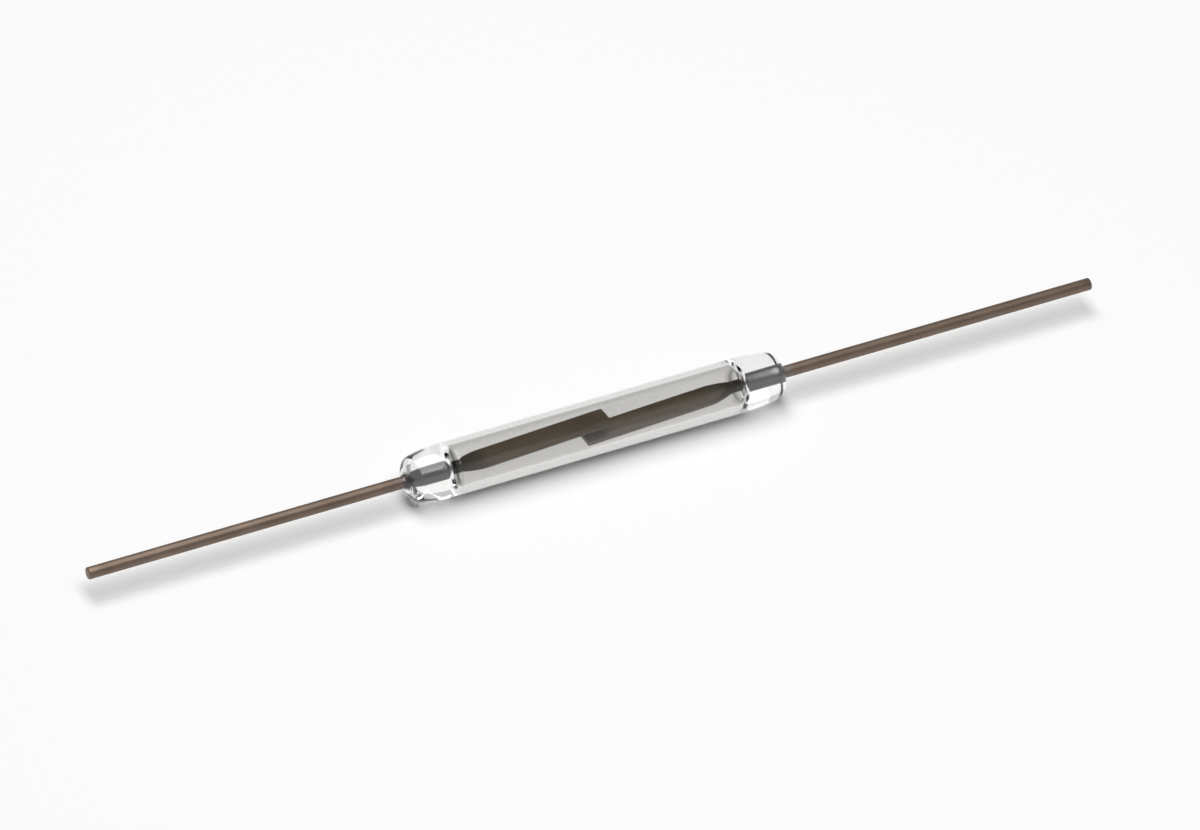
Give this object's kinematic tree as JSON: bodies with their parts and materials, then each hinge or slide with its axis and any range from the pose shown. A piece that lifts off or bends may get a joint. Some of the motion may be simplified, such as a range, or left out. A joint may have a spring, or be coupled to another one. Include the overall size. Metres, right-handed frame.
{
  "type": "glass reed switch",
  "caption": "Slim sealed glass tube with a tinned wire lead at each end and flat magnetic reeds inside whose overlapping tips close a circuit near a magnet.",
  "frame": {"origin": "middle of the glass tube, on the axis of the leads, halfway along the overlap of the contacts", "axes": "+X along the leads towards the right lead, +Z square to the flats of the blades, with the left blade on the +Z side"},
  "size_m": [0.0542, 0.0026, 0.0028],
  "materials": {
    "clear_glass": "clear, fire-polished at the ends",
    "tinned_wire": "drawn wire with a dull tin coat",
    "nickel_iron": "pressed nickel-iron, matt"
  },
  "bodies": {
    "envelope": {"glass_envelope": "clear_glass", "left_lead": "tinned_wire", "right_lead": "tinned_wire"},
    "left_reed": {"left_blade": "nickel_iron"},
    "right_reed": {"right_blade": "nickel_iron"}
  },
  "joints": [
    {"name": "left_reed_flex", "type": "hinge", "parent": "envelope", "child": "left_reed", "pos_m": [-0.0075, 0, 0], "axis": [0, 1, 0], "range_deg": [0, 1.9], "stiffness_Nm_per_rad": 0.01},
    {"name": "right_reed_flex", "type": "hinge", "parent": "envelope", "child": "right_reed", "pos_m": [0.0075, 0, 0], "axis": [0, 1, 0], "range_deg": [0, 1.9], "stiffness_Nm_per_rad": 0.01}
  ],
  "couplings": [
    {"joint": "right_reed_flex", "follows": "left_reed_flex", "ratio": 1}
  ]
}
